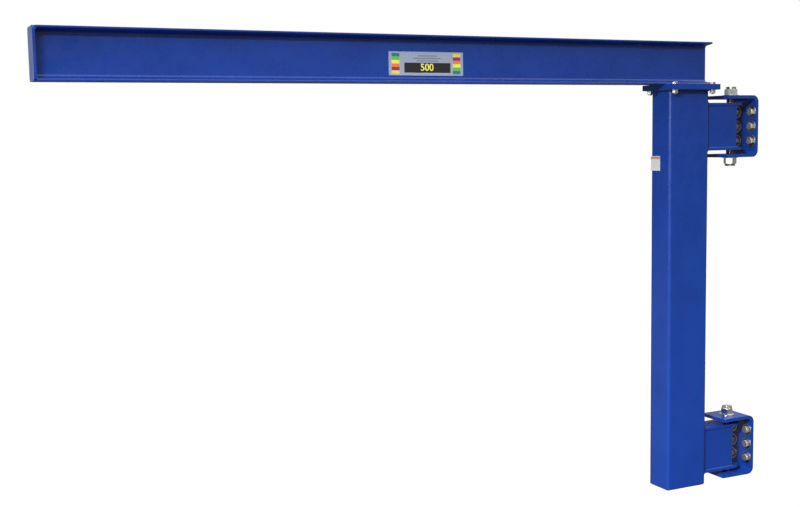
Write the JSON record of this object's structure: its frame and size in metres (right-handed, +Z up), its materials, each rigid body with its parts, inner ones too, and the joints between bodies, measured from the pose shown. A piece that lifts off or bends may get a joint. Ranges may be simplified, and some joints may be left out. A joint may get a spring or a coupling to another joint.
{
  "type": "jib crane",
  "caption": "Wall-mounted jib crane: a cantilever beam boom bolted to a short box mast that swings on two vertical pins held by bent wall brackets.",
  "frame": {"origin": "middle of the lower bracket's flat back face, which bolts to the wall", "axes": "+X out of the back face into the wall, the boom runs to -X at rest, +Z up along the swing axis"},
  "size_m": [2.6, 0.168, 1.6439],
  "materials": {
    "jib_blue": "satin powder coat",
    "bracket_blue": "satin powder coat",
    "zinc_hardware": "zinc plated",
    "bronze": "plain bronze",
    "rating_plate": "printed foil",
    "white_label": "printed vinyl"
  },
  "bodies": {
    "wall_brackets": {"upper_bracket": "bracket_blue", "lower_bracket": "bracket_blue", "upper_wall_bolts": "zinc_hardware", "lower_wall_bolts": "zinc_hardware", "upper_wall_washers": "zinc_hardware", "lower_wall_washers": "zinc_hardware", "upper_pivot_pin": "zinc_hardware", "upper_pivot_top_nut": "zinc_hardware", "upper_pivot_bottom_nut": "zinc_hardware", "lower_pivot_pin": "zinc_hardware", "lower_pivot_nut": "zinc_hardware", "pivot_washers": "zinc_hardware"},
    "jib": {"mast": "jib_blue", "mast_foot_cap": "jib_blue", "mast_top_plate": "jib_blue", "boom_base_plate": "jib_blue", "boom": "jib_blue", "boom_end_plate": "jib_blue", "upper_knuckle_channel": "jib_blue", "upper_knuckle_top_plate": "jib_blue", "upper_knuckle_bottom_plate": "jib_blue", "lower_knuckle_channel": "jib_blue", "lower_knuckle_top_plate": "jib_blue", "lower_knuckle_bottom_plate": "jib_blue", "upper_top_bushing": "bronze", "upper_bottom_bushing": "bronze", "lower_top_bushing": "bronze", "lower_bottom_bushing": "bronze", "flange_bolts": "zinc_hardware", "flange_nuts": "zinc_hardware", "flange_washers": "zinc_hardware", "capacity_plate": "rating_plate", "mast_label": "white_label"}
  },
  "joints": [
    {"name": "swing", "type": "hinge", "parent": "wall_brackets", "child": "jib", "pos_m": [-0.08, 0, 0], "axis": [0, 0, 1], "range_deg": [-85, 85]}
  ]
}
